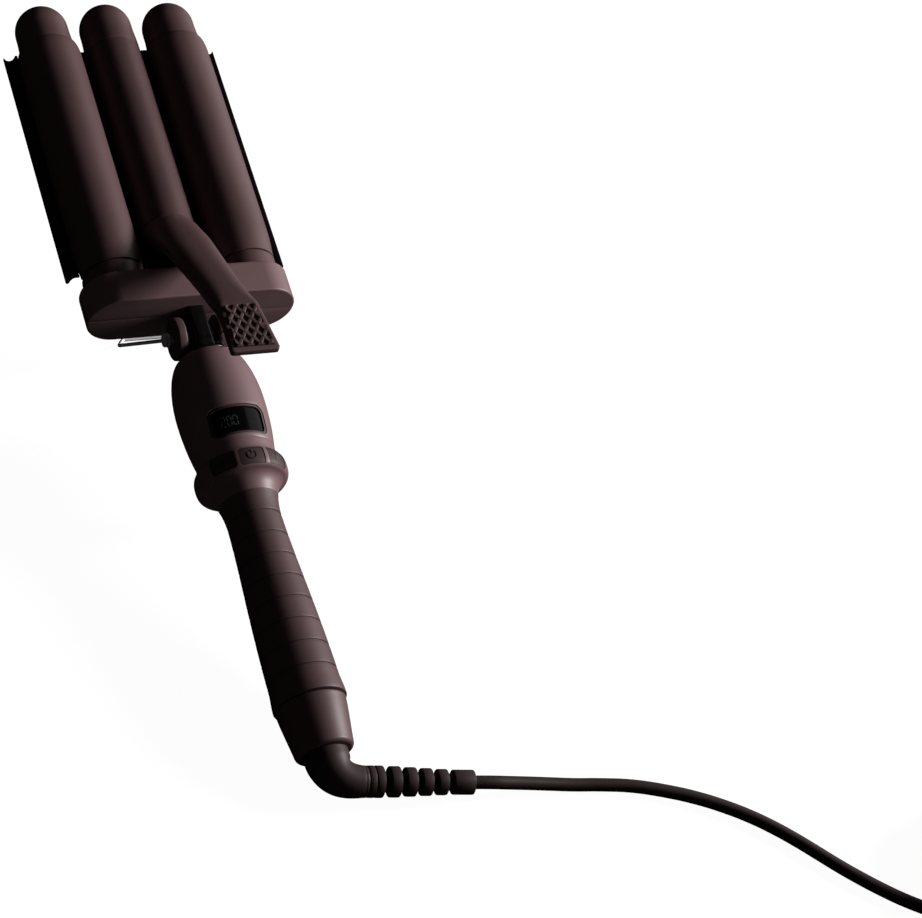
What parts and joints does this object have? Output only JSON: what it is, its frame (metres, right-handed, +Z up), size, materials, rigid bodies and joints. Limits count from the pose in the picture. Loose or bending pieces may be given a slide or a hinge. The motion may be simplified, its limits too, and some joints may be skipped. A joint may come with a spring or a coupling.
{
  "type": "hair waver",
  "caption": "Hair waver with parallel heated barrels, a thumb-lever clip with covered wings, a display handle with buttons, a wire stand and a swivel mains lead.",
  "frame": {"origin": "under the middle of the tool's own bounding box (the mains lead left out), on the table that its stand's foot and end cap rest on", "axes": "+X across the barrels to the tool's right, +Y along the tool towards its tips, +Z up from the table"},
  "size_m": [0.4391, 0.5814, 0.1083],
  "materials": {
    "brown_plastic": "matte",
    "barrel_coating": "dark ceramic coating",
    "black_plastic": "gloss",
    "soft_brown": "soft matte",
    "steel": "brushed",
    "heater_metal": "satin",
    "window_lens": "clear dark",
    "board": "matte",
    "brass": "plain",
    "lead_sheath": "matte"
  },
  "bodies": {
    "handle": {"head_block_front": "brown_plastic", "head_block_back": "brown_plastic", "block_screws": "steel", "left_barrel": "barrel_coating", "right_barrel": "barrel_coating", "left_tip_cap": "brown_plastic", "right_tip_cap": "brown_plastic", "left_heat_collar": "brown_plastic", "right_heat_collar": "brown_plastic", "left_heater": "heater_metal", "right_heater": "heater_metal", "trough_plate": "black_plastic", "trough_cover": "brown_plastic", "neck_post": "black_plastic", "neck_ring": "black_plastic", "hinge_pin": "steel", "thermal_fuse": "heater_metal", "wire_loom": "black_plastic", "lever_spring": "steel", "housing_front": "brown_plastic", "housing_back": "brown_plastic", "housing_screws": "steel", "display_lens": "window_lens", "display_module": "board", "control_board": "board", "button_switches": "steel", "button_collar": "brown_plastic", "inner_tube": "black_plastic", "grip_sleeve": "soft_brown", "flared_ring": "brown_plastic", "end_cap": "brown_plastic", "brush_holder": "black_plastic"},
    "clip": {"middle_barrel": "barrel_coating", "middle_tip_cap": "brown_plastic", "middle_heater": "heater_metal", "left_clip_plate": "black_plastic", "right_clip_plate": "black_plastic", "left_wing": "brown_plastic", "right_wing": "brown_plastic", "clip_arm": "brown_plastic", "thumb_pad": "soft_brown"},
    "stand": {"wire_stand": "steel"},
    "button_power": {"button_power": "brown_plastic"},
    "button_left": {"button_left": "brown_plastic"},
    "button_right": {"button_right": "brown_plastic"},
    "lead": {"swivel_spindle": "black_plastic", "slip_rings": "brass", "elbow_boot": "lead_sheath", "strain_relief": "lead_sheath", "cord": "lead_sheath", "cord_coil": "lead_sheath", "cord_tail": "lead_sheath", "coil_tie": "black_plastic", "plug_body": "lead_sheath", "plug_pins": "steel"}
  },
  "joints": [
    {"name": "clip_hinge", "type": "hinge", "parent": "handle", "child": "clip", "pos_m": [0, 0.01025, 0.05289], "axis": [1, 0, 0], "range_deg": [0, 18], "stiffness_Nm_per_rad": 0.6, "springref_deg": -20.05, "deforming": ["lever_spring"]},
    {"name": "stand_hinge", "type": "hinge", "parent": "handle", "child": "stand", "pos_m": [0, 0.01025, 0.05289], "axis": [1, 0, 0], "range_deg": [-92, 0]},
    {"name": "button_power_press", "type": "slide", "parent": "handle", "child": "button_power", "axis": [0, 0.1786, -0.9839], "range_m": [0, 0.0008], "stiffness_N_per_m": 800, "springref_m": -0.0006},
    {"name": "button_left_press", "type": "slide", "parent": "handle", "child": "button_left", "axis": [0.6157, 0.1407, -0.7753], "range_m": [0, 0.0008], "stiffness_N_per_m": 800, "springref_m": -0.0006},
    {"name": "button_right_press", "type": "slide", "parent": "handle", "child": "button_right", "axis": [-0.6157, 0.1407, -0.7753], "range_m": [0, 0.0008], "stiffness_N_per_m": 800, "springref_m": -0.0006},
    {"name": "lead_swivel", "type": "hinge", "parent": "handle", "child": "lead", "pos_m": [0, -0.20917, 0.01306], "axis": [0, 0.9839, 0.1786], "continuous": true}
  ]
}
